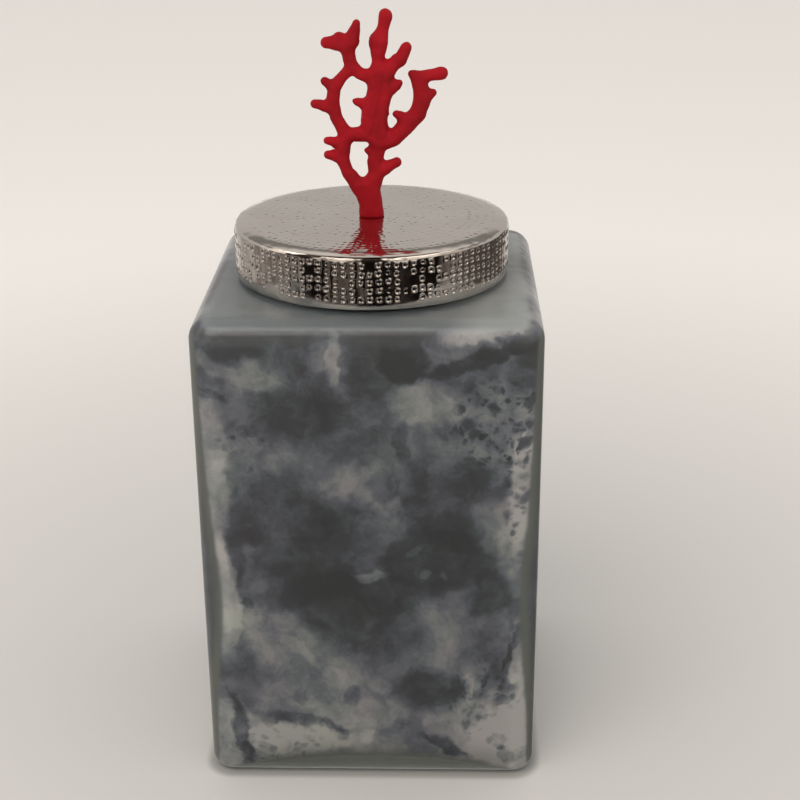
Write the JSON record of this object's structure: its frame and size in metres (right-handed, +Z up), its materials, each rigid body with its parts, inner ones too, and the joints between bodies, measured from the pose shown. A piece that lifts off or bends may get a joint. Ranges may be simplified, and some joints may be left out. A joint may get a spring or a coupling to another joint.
{
  "type": "powder jar",
  "caption": "Square thick-walled glass canister, enamelled inside, with a round hammered metal lift-off lid and a flat cast coral finial.",
  "frame": {"origin": "middle of the jar's flat underside", "axes": "+Z up through the mouth and the finial, -Y towards the front, so that the flat sprig faces front"},
  "size_m": [0.125, 0.125, 0.2822],
  "materials": {
    "satin_glass": "acid-etched satin outside",
    "marbled_enamel": "smoky charcoal clouds on pale grey",
    "hammered_metal": "nickel plate, hammered, mirror polished",
    "moulded_plastic": "moulded, satin",
    "silicone": "translucent silicone",
    "red_casting": "red semi-gloss enamel on a cast blank",
    "zinc_steel": "zinc plated"
  },
  "bodies": {
    "jar": {"glass_jar": "satin_glass", "marbled_lining": "marbled_enamel"},
    "seal": {"lid_seal": "silicone"},
    "lid": {"lid_cap": "hammered_metal", "lid_insert": "moulded_plastic", "coral_finial": "red_casting", "finial_screw": "zinc_steel", "flat_washer": "zinc_steel", "spring_washer": "zinc_steel"}
  },
  "joints": [
    {"name": "lid_lift", "type": "slide", "parent": "jar", "child": "seal", "axis": [0, 0, 1], "range_m": [0, 0.08]},
    {"name": "lid_turn", "type": "hinge", "parent": "seal", "child": "lid", "pos_m": [0, 0, 0.19], "axis": [0, 0, 1], "continuous": true}
  ]
}
